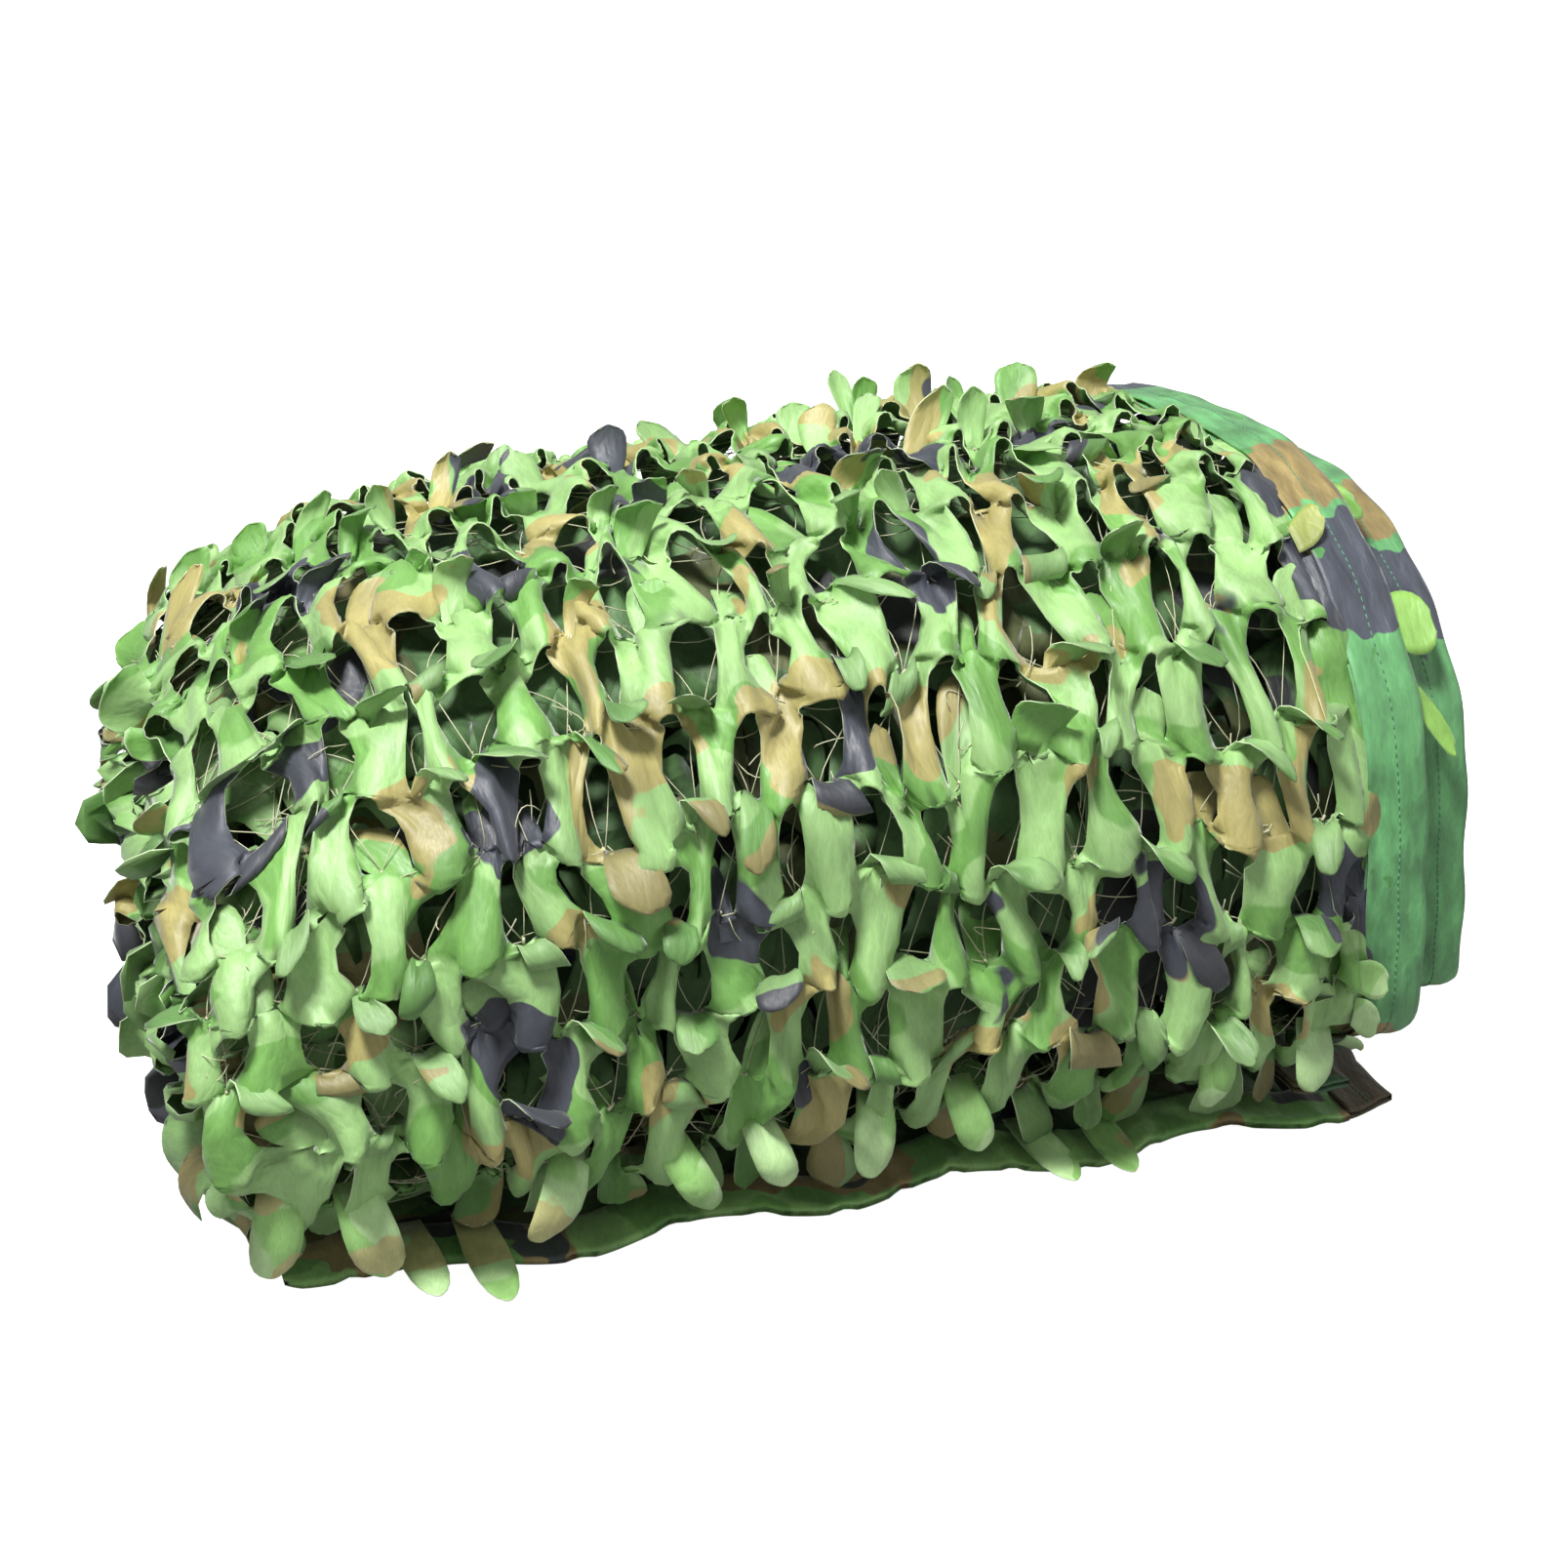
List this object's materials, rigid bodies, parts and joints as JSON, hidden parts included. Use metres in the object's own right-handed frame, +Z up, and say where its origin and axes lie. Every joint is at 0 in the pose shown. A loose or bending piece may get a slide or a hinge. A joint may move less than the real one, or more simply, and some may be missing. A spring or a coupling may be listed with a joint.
{
  "type": "camouflage netting bundle",
  "caption": "Leaf-cut camouflage netting with sewn edge bindings, doubled and folded back and forth into a bundle that lies on the floor.",
  "frame": {"origin": "on the floor, under the middle of the bundle's box", "axes": "+X along the bundle, from the folded end to the bound end; the round front faces -Y; +Z up"},
  "size_m": [0.7777, 0.4734, 0.3996],
  "materials": {
    "leaf_cut_cloth": "printed woven polyester in light green, green, tan and dark grey blotches, slight sheen",
    "binding_cloth": "the same printed cloth, folded flat and sewn, duller"
  },
  "bodies": {
    "root": {"net_cloth": "leaf_cut_cloth", "binding_outer": "binding_cloth", "binding_inner": "binding_cloth", "binding_front": "binding_cloth"}
  },
  "joints": []
}
